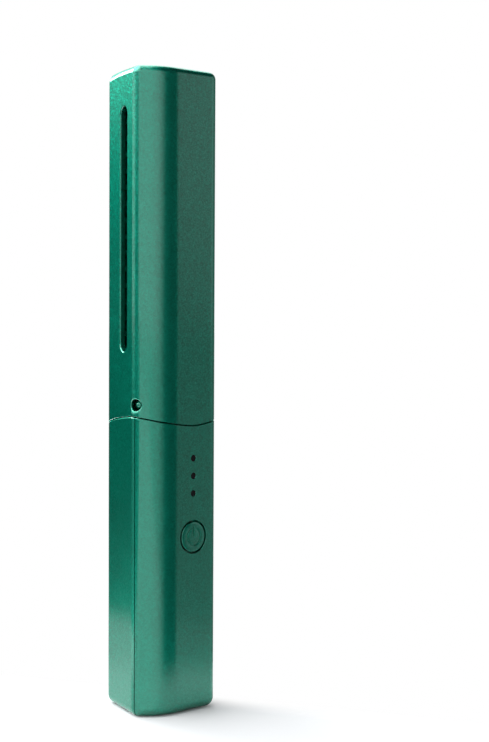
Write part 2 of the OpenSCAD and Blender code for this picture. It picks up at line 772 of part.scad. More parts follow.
// Leads from the two tabs to the back of the main board
module battery_leads() color("#b8231e") {
    y = board_back + lead_off;
    low = cell_z - tab[2] - lead_d / 2;
    high = cell_top + terminal_h + tab[2] + lead_d / 2;
    face_frame() {
        wire([[8, cell_y, low], [8, y, low], [8, y, board_z + 8], [8, board_back, board_z + 8]], lead_d);
        wire([[7, cell_y, high], [7, board_back, high]], lead_d);
    }
}

module battery_pads() color("#3a3d40") {
    face_frame() {
        translate([0, cell_y, charge_z + charge_t])
            cylinder(d = pad_d, h = cell_z - tab[2] - charge_z - charge_t);
        translate([0, cell_y, cell_top + terminal_h + tab[2]]) cylinder(d = pad_d, h = foam_t);
    }
}

module charge_board() color(board_green) {
    rotate([0, 0, part_a]) translate([-charge_l / 2, -charge_w / 2, charge_z]) cube([charge_l, charge_w, charge_t]);
}

module charge_chip() color(plastic_black) {
    rotate([0, 0, part_a]) translate([charge_l / 2 - 3.6, -1.5, charge_z - 1]) cube([3, 3, 1]);
}

module usb_shell() color(metal) {
    rotate([0, 0, part_a]) translate([0, 0, charge_z - usb_l]) difference() {
        linear_extrude(usb_l) stadium(usb_w, usb_t);
        translate([0, 0, -1]) linear_extrude(usb_l) stadium(usb_w - 2 * usb_sheet, usb_t - 2 * usb_sheet);
    }
}

module usb_tongue() color(plastic_black) {
    rotate([0, 0, part_a]) translate([-tongue[0] / 2, -tongue[1] / 2, charge_z - usb_l + 0.8])
        cube([tongue[0], tongue[1], usb_l - 1.8]);
}

// Leads from the charging board to the main board
module charge_leads() color("#222222") {
    y = board_back + lead_off;
    face_frame() wire([[-7.6, y, charge_z + charge_t], [-7.6, y, board_z + 1.3], [-7.6, board_back, board_z + 1.3]], lead_d);
}

cap();
front_shell();
rear_shell();
comb_shell();
spine_shell();
catch_left();
catch_right();
heater_bar();
ceramic_heater();
mica_sheet();
heater_clamp();
thermal_fuse();
thermistor();
heater_leads();
sensor_leads();
power_button();
light_guide();
status_leds();
main_board();
switch_body();
switch_plunger();
control_chip();
heater_transistor();
boost_inductor();
board_capacitors();
board_screws();
battery_cell();
battery_wrap();
battery_tabs();
battery_leads();
battery_pads();
charge_board();
charge_chip();
usb_shell();
usb_tongue();
charge_leads();
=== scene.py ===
"""Looks of a cordless heated comb with a pull-off cap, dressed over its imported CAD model."""

import json
import math

import bmesh
import bpy
import numpy as np
from mathutils import Matrix, Quaternion, Vector
from mathutils.bvhtree import BVHTree


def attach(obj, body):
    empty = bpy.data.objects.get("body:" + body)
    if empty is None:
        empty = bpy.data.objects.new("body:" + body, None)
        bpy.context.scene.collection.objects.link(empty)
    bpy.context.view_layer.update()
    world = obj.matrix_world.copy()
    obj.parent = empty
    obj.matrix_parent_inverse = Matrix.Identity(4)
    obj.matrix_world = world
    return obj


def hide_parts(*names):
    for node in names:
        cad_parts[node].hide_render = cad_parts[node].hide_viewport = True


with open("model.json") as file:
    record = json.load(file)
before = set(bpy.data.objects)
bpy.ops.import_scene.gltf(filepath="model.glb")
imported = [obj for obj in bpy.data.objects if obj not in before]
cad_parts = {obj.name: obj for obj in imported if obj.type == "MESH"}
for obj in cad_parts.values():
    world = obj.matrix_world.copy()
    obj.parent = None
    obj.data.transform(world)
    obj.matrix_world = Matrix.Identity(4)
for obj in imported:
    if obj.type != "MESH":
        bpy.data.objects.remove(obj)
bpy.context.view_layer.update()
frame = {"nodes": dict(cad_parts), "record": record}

MM = 0.001

# Sizes in millimetres, taken from the CAD model

TOTAL_H = 200
BODY_W = 29
BODY_D = 26.62
FACET_L = 9.6
FACET_A = math.radians(24.4)
FACE_A = math.radians(13.6)
SEAM_H = 91
SEAM_GAP = 0.3
FOOT_R = 3.0
TOP_R = 2.4
WALL = 1.8
FLOOR_T = 2.0
CAP_WALL = 1.8
COLLAR_INSET = 2.15
COLLAR_WALL = 1.5
TANG_Z = 82
BAND_H = 3
COLLAR_H = 6
COLLAR_EDGE = 0.6
SHOULDER_Z = 103.5
COMB_TOP = 196.8
ARCH_R = 33
ARCH_X = 5
GAP_N = 15
GAP_Z0 = 115.5
GAP_PITCH = 5.12
GAP_ROOT = 2.56
GAP_TIP = 3.76
GAP_REACH = 9.3
BAR_OUT = 1.0
THROAT_R = 4.6
THROAT_X = -7.2
THROAT_Z = 105.6
SLOT_L = 75.5
SLOT_W = 5.2
SLOT_Y = -2.9
SLOT_TOP = 188.2
CATCH_Z = 96.5
CATCH_HOLE_D = 3.6
CATCH_BALL_D = 2.9
CATCH_OUT = 0.65
CATCH_TRAVEL = 0.7
CATCH_SLIT = 0.45
CATCH_STEM_D = 1.0
BUTTON_D = 9.3
BUTTON_GAP = 0.6
BUTTON_X = 2.2
BUTTON_Z = 55
LIGHT_D = 1.9
LIGHT_Z = [68.6, 74.1, 79.6]
SYMBOL_R = 2.6
SYMBOL_W = 0.55
SYMBOL_DEPTH = 0.25
USB_W = 8.94
USB_T = 3.2
SEAT_GAP = 0.1

# Details of the dressed pieces in millimetres: the foot of the catches, the button's dome, rims and edges

CATCH_FOOT = 91.6
DOME = 0.14
SLOT_RIM = 0.5
HOLE_RIM = 0.55
BUTTON_RIM = 0.15
LIGHT_RIM = 0.16
LIGHT_GAP = 0.05
GAP_RIM = 0.35
THROAT_RIM = 0.5
SYMBOL_RIM = 0.12
CAP_SEAM_EDGE = 0.12
HANDLE_SEAM_EDGE = 0.32
HEAD_EDGE = 0.6
BUTTON_EDGE = 0.2


def unit(v):
    return np.asarray(v, float) / np.linalg.norm(v)


facet_x = -BODY_W / 2 + FACET_L * math.cos(FACET_A)
facet_y = (math.sin(FACE_A) * facet_x - BODY_D / 2) / math.cos(FACE_A)
CORNER_Y = -facet_y - FACET_L * math.sin(FACET_A)
half_corners = [
    (-BODY_W / 2, -CORNER_Y),
    (facet_x, facet_y),
    (BODY_W / 2, facet_y + (BODY_W / 2 - facet_x) * math.tan(FACE_A)),
]
BODY_CORNERS = np.array(half_corners + [(-x, -y) for x, y in half_corners])
BODY_RADII = [3, 15, 3.4, 3, 15, 3.4]
BODY_ARCS = [16, 22, 18, 16, 22, 18]
HEAD_CORNERS = np.array([(-11.2, 6.6), (0, -0.4), (11, -6.4), (11, 9.2), (3, 9.8), (-11.2, 8.2)])
HEAD_RADII = [0.6, 60, 3, 2.4, 30, 0.6]
PARTING_A = math.atan2(CORNER_Y, BODY_W / 2)


# Outlines and rings


def rounding(corners, i, inset, radius):
    """Centre, start angle and turn of the rounding at corner i, with the corner moved inward."""
    n = len(corners)

    def moved(k):
        c = corners[k % n]
        u = unit(corners[(k - 1) % n] - c)
        w = unit(corners[(k + 1) % n] - c)
        return c + (u + w) * inset / abs(u[0] * w[1] - u[1] * w[0])

    c = moved(i)
    u = unit(moved(i - 1) - c)
    w = unit(moved(i + 1) - c)
    r = max(radius - inset, 0.4)
    between = math.acos(float(np.clip(u @ w, -1, 1)))
    centre = c + unit(u + w) * r / math.sin(between / 2)
    return centre, math.atan2(u[0], -u[1]), math.pi - between, r


def rounded(corners, radii, arcs, inset=0.0, straight=10):
    """Outline with rounded corners, moved inward, with as many points at any inset."""
    pieces = []
    for i in range(len(corners)):
        centre, start, turn, r = rounding(corners, i, inset, radii[i])
        a = start + turn * np.linspace(0, 1, arcs[i] + 1)
        pieces.append(centre + r * np.stack([np.cos(a), np.sin(a)], 1))
    points = []
    for i, piece in enumerate(pieces):
        after = pieces[(i + 1) % len(pieces)][0]
        points.extend(piece)
        for k in range(1, straight):
            points.append(piece[-1] + (after - piece[-1]) * k / straight)
    return np.array(points)


def body_outline(inset=0.0):
    return rounded(BODY_CORNERS, BODY_RADII, BODY_ARCS, inset)


def head_outline(inset=0.0):
    return rounded(HEAD_CORNERS, HEAD_RADII, BODY_ARCS, inset)


def at_height(outline, z):
    z = np.broadcast_to(z, len(outline))
    return np.column_stack([outline, z])


SEAM_MARKS = [
    (36, 2.1), (52, 1.1), (72, -0.6), (109, -2.8), (133, -4.6), (147, -1.4), (160, -0.1), (180, 0.8),
    (198, 1.4), (216, 1.7), (245, 0.2), (278, -1.1), (299, -1.3), (320, -0.4), (340, 0.6),
]


def seam_wave(outline):
    """Height of the wavy seam over its mean, for the points of an outline."""
    n = len(SEAM_MARKS)
    marks = [(SEAM_MARKS[k % n][0] + 360 * (k // n), SEAM_MARKS[k % n][1]) for k in range(-2, n + 3)]
    heights = []
    for x, y in outline:
        a = math.degrees(math.atan2(y, x)) % 360
        if a < SEAM_MARKS[0][0]:
            a += 360
        k = max(j for j in range(1, len(marks) - 2) if marks[j][0] <= a)
        (a0, h0), (a1, h1), (a2, h2), (a3, h3) = marks[k - 1:k + 3]
        d = a2 - a1
        t = (a - a1) / d
        s1 = (h2 - h0) / (a2 - a0) * d
        s2 = (h3 - h1) / (a3 - a1) * d
        heights.append(
            (2 * t**3 - 3 * t**2 + 1) * h1 + (t**3 - 2 * t**2 + t) * s1
            + (3 * t**2 - 2 * t**3) * h2 + (t**3 - t**2) * s2
        )
    return np.array(heights)


WAVE = seam_wave(body_outline())


def mesh_object(name, points, faces):
    mesh = bpy.data.meshes.new(name)
    mesh.from_pydata([tuple(p) for p in np.asarray(points, float) * MM], [], faces)
    mesh.validate()
    thing = bpy.data.objects.new(name, mesh)
    bpy.context.scene.collection.objects.link(thing)
    return thing


def ring_stack(name, rings):
    """Closed solid through rings of equally many points, each ring counter-clockwise from above."""
    n = len(rings[0])
    points = np.vstack(rings)
    faces = []
    for j in range(len(rings) - 1):
        for i in range(n):
            k = (i + 1) % n
            faces.append((j * n + i, j * n + k, (j + 1) * n + k, (j + 1) * n + i))
    faces.append(tuple(range(n - 1, -1, -1)))
    faces.append(tuple((len(rings) - 1) * n + i for i in range(n)))
    return mesh_object(name, points, faces)


def facing_outward(thing):
    """Turns the faces of a closed piece outward."""
    bm = bmesh.new()
    bm.from_mesh(thing.data)
    bmesh.ops.recalc_face_normals(bm, faces=bm.faces)
    bm.to_mesh(thing.data)
    bm.free()
    return thing


def quarter(radius, steps):
    """Insets and heights of a rounded edge, from its wall to its flat."""
    a = np.linspace(0, math.pi / 2, steps + 1)
    return [(radius * (1 - math.cos(t)), radius * (1 - math.sin(t))) for t in a]


# Cutting tools


def evaluated(thing):
    """Applies a piece's modifiers."""
    graph = bpy.context.evaluated_depsgraph_get()
    mesh = bpy.data.meshes.new_from_object(thing.evaluated_get(graph))
    thing.modifiers.clear()
    old = thing.data
    thing.data = mesh
    bpy.data.meshes.remove(old)
    mesh.name = thing.name
    return thing


def cut(thing, *cutters, how="DIFFERENCE"):
    for cutter in cutters:
        step = thing.modifiers.new("cut", "BOOLEAN")
        step.operation = how
        step.solver = "MANIFOLD"
        step.object = cutter
    evaluated(thing)
    for cutter in cutters:
        bpy.data.objects.remove(cutter)
    return thing


def joined(name, parts):
    """One object from several that don't touch."""
    points = []
    faces = []
    for part in parts:
        start = len(points)
        points.extend([tuple(v.co / MM) for v in part.data.vertices])
        faces.extend([tuple(start + i for i in p.vertices) for p in part.data.polygons])
        bpy.data.objects.remove(part)
    return mesh_object(name, points, faces)


def grow(outline, d):
    """Moves each side of a closed counter-clockwise outline outward by d."""
    before = np.roll(outline, 1, 0)
    after = np.roll(outline, -1, 0)
    u = outline - before
    w = after - outline
    u = u / np.linalg.norm(u, axis=1)[:, None]
    w = w / np.linalg.norm(w, axis=1)[:, None]
    nu = np.stack([u[:, 1], -u[:, 0]], 1)
    nw = np.stack([w[:, 1], -w[:, 0]], 1)
    m = nu + nw
    return outline + d * m * (2 / np.maximum((m * m).sum(1), 0.5))[:, None]


def circle(r, n=48, y=0.0):
    a = np.linspace(0, 2 * math.pi, n, endpoint=False)
    return np.stack([r * np.cos(a), y + r * np.sin(a)], 1)


def stadium(length, width, n=20, upright=False):
    a = np.linspace(-math.pi / 2, math.pi / 2, n + 1)
    half = (length - width) / 2
    side = np.stack([half + width / 2 * np.cos(a), width / 2 * np.sin(a)], 1)
    points = np.vstack([side, -side])
    if upright:
        points = np.stack([-points[:, 1], points[:, 0]], 1)
    return points


def tree_of(thing):
    return BVHTree.FromPolygons(
        [v.co.copy() for v in thing.data.vertices], [tuple(p.vertices) for p in thing.data.polygons]
    )


def rim_cutter(name, thing, outline, place, rim, depth=None, other_side=False, gone=12.0, steps=5):
    """Cutter whose hole has rounded rims that follow the surface it enters.

    place takes (u, v, w) in millimetres to metres, with w outward.
    Where a ray misses, the surface is taken at gone.
    """
    tree = tree_of(thing)
    start = math.radians(18)

    def layer(offset, sink, side):
        flat = grow(outline, offset)
        ring = []
        for u, v in flat:
            out = (place @ Vector((u, v, 1)) - place @ Vector((u, v, 0))).normalized() * side
            away = place @ Vector((u, v, 0)) + out * 0.04
            hit, normal, _, _ = tree.ray_cast(away, -out)
            if hit is None:
                ring.append(place @ Vector((u, v, side * (gone - sink))))
            else:
                ring.append(hit - out * (sink / max(abs(normal @ out), 0.35)) * MM)
        return [tuple(p / MM) for p in ring]

    def layers(side):
        made = [layer(rim * (1 - math.sin(start)) + 0.4, -1.5, side)]
        for k in range(steps + 1):
            a = start + (math.pi / 2 - start) * k / steps
            sink = rim * (math.cos(start) - math.cos(a) - 0.03)
            made.append(layer(rim * (1 - math.sin(a)), sink, side))
        return made

    rings = layers(1)
    if other_side:
        rings += layers(-1)[::-1]
    else:
        rings.append(layer(0, depth, 1))
    return facing_outward(ring_stack(name, [np.array(r) for r in rings[::-1]]))


def frame_of(origin, u, v, w):
    """Matrix from a local frame in millimetres to the row frame in metres."""
    m = Matrix.Identity(4)
    for k, axis in enumerate((u, v, w)):
        for j in range(3):
            m[j][k] = axis[j] * MM
    for j in range(3):
        m[j][3] = origin[j] * MM
    return m


def split(thing, side, edge=0.15, gap=0.13):
    """Keeps one half at the parting plane, set back from it by gap and with its new edge rounded."""
    bm = bmesh.new()
    bm.from_mesh(thing.data)
    normal = Vector((-math.sin(PARTING_A), math.cos(PARTING_A), 0)) * side
    bmesh.ops.bisect_plane(
        bm, geom=bm.verts[:] + bm.edges[:] + bm.faces[:], dist=1e-7,
        plane_co=normal * gap * MM, plane_no=-normal, clear_outer=True,
    )
    rim = [e for e in bm.edges if e.is_boundary]
    made = bmesh.ops.contextual_create(bm, geom=rim)
    caps = set(made["faces"])
    edges = [e for e in bm.edges if len(e.link_faces) == 2 and len(caps & set(e.link_faces)) == 1]
    bmesh.ops.bevel(
        bm, geom=edges, offset=edge * MM, segments=2, profile=0.5, affect="EDGES", clamp_overlap=True
    )
    bm.to_mesh(thing.data)
    bm.free()
    return thing


def finished(thing, angle=32):
    """Smooth shading inside creases, with normals that keep flat faces flat."""
    bm = bmesh.new()
    bm.from_mesh(thing.data)
    bmesh.ops.remove_doubles(bm, verts=bm.verts, dist=2e-6)
    bmesh.ops.dissolve_degenerate(bm, edges=bm.edges, dist=1e-6)
    for face in bm.faces:
        face.smooth = True
    for e in bm.edges:
        e.smooth = len(e.link_faces) == 2 and e.calc_face_angle(0) < math.radians(angle)
    bm.to_mesh(thing.data)
    bm.free()
    step = thing.modifiers.new("flat faces", "WEIGHTED_NORMAL")
    step.keep_sharp = True
    return evaluated(thing)


# The cap


def cap_blank():
    """The cap as a hollow solid, open at the seam, before its slot and holes."""
    inner = body_outline(CAP_WALL)
    rings = [at_height(inner, TOTAL_H - CAP_WALL), at_height(inner, SEAM_H + SEAM_GAP + WAVE)]
    # The rounding is wider at the far left corner
    to_corner = np.linalg.norm(body_outline() - BODY_CORNERS[5], axis=1)
    wider = 0.4 * np.exp(-((to_corner / 6.5) ** 2))
    for inset, rise in quarter(CAP_SEAM_EDGE, 4)[::-1]:
        rings.append(at_height(body_outline(inset), SEAM_H + SEAM_GAP + WAVE + rise))
    for inset, drop in quarter(TOP_R, 10):
        outline = body_outline(inset)
        outline = outline + (body_outline(2 * inset) - outline) * wider[:, None]
        rings.append(at_height(outline, TOTAL_H - drop * (1 + wider)))
    return ring_stack("cap_lacquered", rings)


def corner_place(i, z):
    """Frame at a parting corner at height z: w runs outward, u to the side and v up."""
    centre, _, _, _ = rounding(BODY_CORNERS, i, 0.0, BODY_RADII[i])
    out = unit(BODY_CORNERS[i] - centre)
    w = (out[0], out[1], 0)
    u = (-out[1], out[0], 0)
    return frame_of((centre[0], centre[1], z), u, (0, 0, 1), w)


def groove(i):
    """Groove inside the cap that leads a catch up to its hole."""
    place = corner_place(i, SEAM_H)
    low = BODY_RADII[i] - CAP_WALL - 1
    high = BODY_RADII[i] - CAP_WALL + CATCH_OUT - 0.05
    half = CATCH_HOLE_D / 2 - 0.06
    corners = [(-half, -9), (half, -9), (half, 5.6), (-half, 5.6)]
    points = [place @ Vector((x, y, z)) / MM for z in (low, high) for x, y in corners]
    faces = [(0, 3, 2, 1), (4, 5, 6, 7), (0, 1, 5, 4), (1, 2, 6, 5), (2, 3, 7, 6), (3, 0, 4, 7)]
    return mesh_object("groove", points, faces)


cap = cap_blank()
slot_middle = (-BODY_W / 2, SLOT_Y, SLOT_TOP - SLOT_L / 2)
slot_place = frame_of(slot_middle, (0, -1, 0), (0, 0, 1), (-1, 0, 0))
slot_outline = stadium(SLOT_L, SLOT_W, upright=True)
hole_outline = circle(CATCH_HOLE_D / 2)
through_cap = CAP_WALL + 1
cap_cutters = [rim_cutter("slot_tool", cap, slot_outline, slot_place, SLOT_RIM, through_cap)]
for i in (0, 3):
    place = corner_place(i, CATCH_Z)
    cap_cutters.append(rim_cutter("hole_tool", cap, hole_outline, place, HOLE_RIM, through_cap))
cap_cutters += [groove(0), groove(3)]
cut(cap, *cap_cutters)
finished(cap)
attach(cap, "cap")
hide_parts("cap")


# The two shells of the handle


def face_place(x, z):
    """Frame on the button face: w runs outward, u to the right and v up."""
    u = (math.cos(FACE_A), math.sin(FACE_A), 0)
    w = (math.sin(FACE_A), -math.cos(FACE_A), 0)
    o = (u[0] * x + w[0] * BODY_D / 2, u[1] * x + w[1] * BODY_D / 2, z)
    return frame_of(o, u, (0, 0, 1), w)


def solid_handle(name):
    """The handle as one full solid from the foot to the seam."""
    rings = []
    for inset, drop in quarter(FOOT_R, 8)[::-1]:
        rings.append(at_height(body_outline(inset), drop))
    for inset, drop in quarter(HANDLE_SEAM_EDGE, 4):
        rings.append(at_height(body_outline(inset), SEAM_H + WAVE - drop))
    return ring_stack(name, rings)


def cavity():
    inner = body_outline(WALL)
    return ring_stack("cavity", [at_height(inner, FLOOR_T), at_height(inner, SEAM_H + 8)])


def socket_opening():
    outline = stadium(USB_W + 2 * SEAT_GAP, USB_T + 2 * SEAT_GAP)
    c, s = math.cos(PARTING_A), math.sin(PARTING_A)
    opening = np.stack([c * outline[:, 0] - s * outline[:, 1], s * outline[:, 0] + c * outline[:, 1]], 1)
    rings = [
        at_height(grow(opening, 0.9), -0.6),
        at_height(grow(opening, 0.3), 0),
        at_height(opening, 0.3),
        at_height(opening, 3),
    ]
    return ring_stack("socket_tool", rings)


front = split(solid_handle("front_lacquered"), -1)
button_place = face_place(BUTTON_X, BUTTON_Z)
button_hole = circle(BUTTON_D / 2 + BUTTON_GAP, 96)
light_hole = circle(LIGHT_D / 2 + LIGHT_GAP, 40)
through_shell = 3.0
front_cutters = [rim_cutter("button_tool", front, button_hole, button_place, BUTTON_RIM, through_shell)]
for z in LIGHT_Z:
    place = face_place(BUTTON_X, z)
    front_cutters.append(rim_cutter("light_tool", front, light_hole, place, LIGHT_RIM, through_shell))
cut(front, cavity(), socket_opening(), *front_cutters)
finished(front)
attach(front, "handle")
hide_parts("front_shell")

rear = split(solid_handle("rear_lacquered"), 1)
cut(rear, cavity(), socket_opening())
finished(rear)
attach(rear, "handle")
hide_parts("rear_shell")


# The comb head, in two halves that meet at the parting plane

ROOT_NEAR = HEAD_CORNERS[3] + 2.3 * unit(HEAD_CORNERS[4] - HEAD_CORNERS[3])
ROOT_FAR = HEAD_CORNERS[1] + 3.75 * unit(HEAD_CORNERS[0] - HEAD_CORNERS[1])
ROOT_MID = (ROOT_NEAR + ROOT_FAR) / 2
ROOT_U = unit(ROOT_NEAR - ROOT_FAR)
ROOT_V = np.array([-ROOT_U[1], ROOT_U[0]])


def arch_height(outline):
    return COMB_TOP - ARCH_R + np.sqrt(np.maximum(ARCH_R**2 - (outline[:, 0] - ARCH_X) ** 2, 1))


def comb_blank(name):
    """Band, collar, shoulder and blade of the comb head as one full solid."""
    collar = body_outline(COLLAR_INSET)
    top = SEAM_H + 1 + COLLAR_H + 0.6 * (WAVE - 1.7)
    rings = [
        at_height(body_outline(WALL), TANG_Z),
        at_height(body_outline(WALL), TANG_Z + BAND_H),
        at_height(collar, TANG_Z + BAND_H),
    ]
    for inset, drop in quarter(COLLAR_EDGE, 5):
        rings.append(at_height(body_outline(COLLAR_INSET + inset), top - drop))
    low = rings[-1]
    head = head_outline()
    steps = 14
    for k in range(1, steps + 1):
        a = math.pi / 2 * k / steps
        mix = math.sin(a)
        lift = 1 - math.cos(a)
        outline = low[:, :2] * (1 - mix) + head * mix
        rings.append(at_height(outline, low[:, 2] * (1 - lift) + SHOULDER_Z * lift))
    for inset, drop in quarter(HEAD_EDGE, 5):
        outline = head_outline(inset)
        rings.append(at_height(outline, arch_height(outline) - drop))
    last = rings[-1][:, :2]
    ends = [HEAD_CORNERS[0][0], HEAD_CORNERS[2][0]]
    middle = np.column_stack([last[:, 0], np.interp(last[:, 0], ends, [7.4, 1.4])])
    for k in range(1, 5):
        outline = last + (middle - last) * k / 5
        rings.append(at_height(outline, arch_height(outline)))
    return ring_stack(name, rings)


def gap_outline():
    """Outline of a gap, toward the tips and up: round at its root, wider and flared at the tips."""
    g = GAP_ROOT / 2
    slope = (GAP_TIP - GAP_ROOT) / (2 * GAP_REACH - g)
    a = np.radians(np.linspace(94, 266, 25))
    arc = np.stack([g + g * np.cos(a), g * np.sin(a)], 1)
    side = [(y, g + slope * (y - g)) for y in (2.5, 4, 5.5, 7, 8, 8.6, 9.2)]
    tip = [(9.9, side[-1][1] + 0.12), (10.6, side[-1][1] + 0.3), (14, side[-1][1] + 0.34)]
    upper = np.array((side + tip)[::-1])
    lower = upper[::-1] * (1, -1)
    return np.vstack([upper, arc, lower])


def throat_outline():
    a = np.radians(np.linspace(88, -50, 33))
    arc = np.stack([THROAT_X + THROAT_R * np.cos(a), THROAT_Z + THROAT_R * np.sin(a)], 1)
    left = [(-20, 99.2), (-20, THROAT_Z + THROAT_R + 0.6), (-12, THROAT_Z + THROAT_R + 0.35)]
    low = [(-6.2, 100.4), (-9, 99.7), (-12, 99.4)]
    return np.vstack([arc, low, left])[::-1]


def catch_opening(i):
    """Slit and round pocket of the collar around a catch."""
    place = corner_place(i, 0)
    skin = BODY_RADII[i] - COLLAR_INSET
    depth = CATCH_BALL_D - CATCH_OUT + CATCH_TRAVEL + CATCH_SLIT
    ball = circle(CATCH_BALL_D / 2 + CATCH_SLIT, 40, CATCH_Z)
    half = CATCH_STEM_D / 2 + CATCH_SLIT
    foot = CATCH_FOOT - CATCH_SLIT
    slit = np.array([(-half, foot), (half, foot), (half, CATCH_Z), (-half, CATCH_Z)])
    tools = []
    for outline in (ball, slit):
        rings = []
        for w in (skin + 2, skin - depth):
            rings.append(np.array([tuple((place @ Vector((u, v, w))) / MM) for u, v in outline]))
        tools.append(facing_outward(ring_stack("catch_tool", rings[::-1])))
    return cut(tools[0], tools[1], how="UNION")


def collar_hollow():
    inner = body_outline(COLLAR_INSET + COLLAR_WALL)
    return ring_stack("collar_hollow", [at_height(inner, TANG_Z - 1), at_height(inner, SEAM_H + 2.5)])


def heater_pocket():
    """Pocket of the heater bar behind the roots of the gaps."""
    corners = [(-6.2, -3.4), (6.2, -3.4), (6.2, BAR_OUT), (-6.2, BAR_OUT)]
    outline = np.array([ROOT_MID + ROOT_U * x + ROOT_V * y for x, y in corners])
    top = GAP_Z0 + (GAP_N - 1) * GAP_PITCH + 3.5
    return ring_stack("pocket_tool", [at_height(outline, GAP_Z0 - 3.5), at_height(outline, top)])


comb = split(comb_blank("comb_lacquered"), 1)
gap_place = frame_of((*ROOT_MID, GAP_Z0), (*ROOT_V, 0), (0, 0, 1), (*ROOT_U, 0))
gap_tools = []
for k in range(GAP_N):
    place = Matrix.Translation((0, 0, k * GAP_PITCH * MM)) @ gap_place
    gap_tools.append(
        rim_cutter("gap_tool", comb, gap_outline(), place, GAP_RIM, other_side=True, gone=11.5, steps=3)
    )
throat_place = frame_of((0, 0, 0), (1, 0, 0), (0, 0, 1), (0, 1, 0))
throat_tool = rim_cutter(
    "throat_tool", comb, throat_outline(), throat_place, THROAT_RIM, other_side=True, gone=14, steps=4
)
gaps_tool = joined("gaps_tool", gap_tools)
cut(comb, gaps_tool, throat_tool, heater_pocket(), collar_hollow(), catch_opening(0), catch_opening(3))
finished(comb)
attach(comb, "handle")
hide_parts("comb_shell")

spine = split(comb_blank("spine_lacquered"), -1)
cut(spine, collar_hollow(), catch_opening(0), catch_opening(3))
finished(spine)
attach(spine, "handle")
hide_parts("spine_shell")


# Turned pieces


def turned(name, profile, place, steps=72):
    """Solid of revolution about w from pairs of radius and height, from axis to axis."""
    points = [tuple(place @ Vector((0, 0, profile[0][1])) / MM)]
    inner = profile[1:-1]
    for r, w in inner:
        for i in range(steps):
            a = 2 * math.pi * i / steps
            points.append(tuple(place @ Vector((r * math.cos(a), r * math.sin(a), w)) / MM))
    points.append(tuple(place @ Vector((0, 0, profile[-1][1])) / MM))
    faces = []
    last = len(points) - 1
    for i in range(steps):
        k = (i + 1) % steps
        faces.append((0, 1 + k, 1 + i))
        for j in range(len(inner) - 1):
            a = 1 + j * steps
            faces.append((a + i, a + k, a + steps + k, a + steps + i))
        a = 1 + (len(inner) - 1) * steps
        faces.append((a + i, a + k, last))
    return facing_outward(mesh_object(name, points, faces))


def catch(name, i):
    """Ball-headed tongue at a parting corner."""
    out = BODY_RADII[i] - COLLAR_INSET + CATCH_OUT - CATCH_BALL_D / 2
    place = corner_place(i, CATCH_Z)
    foot = place @ Vector((0, 0, out))
    upright = frame_of(tuple(foot / MM), (1, 0, 0), (0, 1, 0), (0, 0, 1))
    r = CATCH_BALL_D / 2
    stem = CATCH_STEM_D / 2
    neck = math.asin((stem + 0.12) / r)
    low = CATCH_FOOT - CATCH_Z
    profile = [(0, low), (stem, low), (stem, -r * math.cos(neck) - 0.25)]
    for a in np.linspace(neck, math.pi - 0.05, 26):
        profile.append((r * math.sin(a), -r * math.cos(a)))
    profile.append((0, r))
    thing = turned(name, profile, upright, 40)
    finished(thing, 40)
    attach(thing, name.replace("_ball", ""))
    return thing


left_catch = catch("left_catch_ball", 0)
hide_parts("catch_left")
right_catch = catch("right_catch_ball", 3)
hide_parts("catch_right")


def symbol_tools(face):
    """The two strokes of the power symbol, with soft rims."""
    half = SYMBOL_W / 2
    a = np.radians(np.linspace(122, 418, 61))
    outer = np.stack([(SYMBOL_R + half) * np.cos(a), (SYMBOL_R + half) * np.sin(a)], 1)
    inner = np.stack([(SYMBOL_R - half) * np.cos(a[::-1]), (SYMBOL_R - half) * np.sin(a[::-1])], 1)

    def round_end(at, first):
        t = at + np.radians(np.linspace(first, first + 180, 9)[1:-1])
        x = SYMBOL_R * math.cos(at) + half * np.cos(t)
        y = SYMBOL_R * math.sin(at) + half * np.sin(t)
        return np.stack([x, y], 1)

    ring = np.vstack([outer, round_end(a[-1], 0), inner, round_end(a[0], 180)])
    bar = stadium(SYMBOL_R + 0.6, SYMBOL_W, 12, upright=True) + (0, 0.1 + (SYMBOL_R + 0.6) / 2)
    return [
        rim_cutter("symbol_tool", face, shape, button_place, SYMBOL_RIM, SYMBOL_DEPTH, steps=3)
        for shape in (ring, bar)
    ]


r = BUTTON_D / 2
flange = r + BUTTON_GAP + 0.7
profile = [(0, DOME)]
for x in np.linspace(0.8, r - BUTTON_EDGE, 8):
    profile.append((x, DOME * (1 - (x / r) ** 2)))
for a in np.radians(np.linspace(15, 90, 6)):
    x = r - BUTTON_EDGE + BUTTON_EDGE * math.sin(a)
    profile.append((x, -BUTTON_EDGE + BUTTON_EDGE * math.cos(a)))
flange_top = -WALL - 0.35
flange_foot = -WALL - 0.95
stub = 1.5
stub_foot = -3.3
profile += [(r, flange_top), (flange, flange_top), (flange, flange_foot)]
profile += [(stub, flange_foot), (stub, stub_foot), (0, stub_foot)]
button = turned("button_lacquered", profile, button_place, 96)
cut(button, *symbol_tools(button))
finished(button)
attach(button, "button")
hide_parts("power_button")


# Materials


class Wire:
    """A socket of a node tree that takes part in sums as if it were a number."""

    def __init__(self, graph, socket):
        self.graph = graph
        self.socket = socket

    def sum_with(self, operation, first, second):
        return self.graph.node("ShaderNodeMath", {"operation": operation}, {0: first, 1: second})

    def __add__(self, other):
        return self.sum_with("ADD", self, other)

    def __radd__(self, other):
        return self.sum_with("ADD", other, self)

    def __mul__(self, other):
        return self.sum_with("MULTIPLY", self, other)

    def __rmul__(self, other):
        return self.sum_with("MULTIPLY", other, self)

    def above(self, level):
        return self.sum_with("GREATER_THAN", self, level)

    def at_least(self, level):
        return self.sum_with("MAXIMUM", self, level)

    def at_most(self, level):
        return self.sum_with("MINIMUM", self, level)


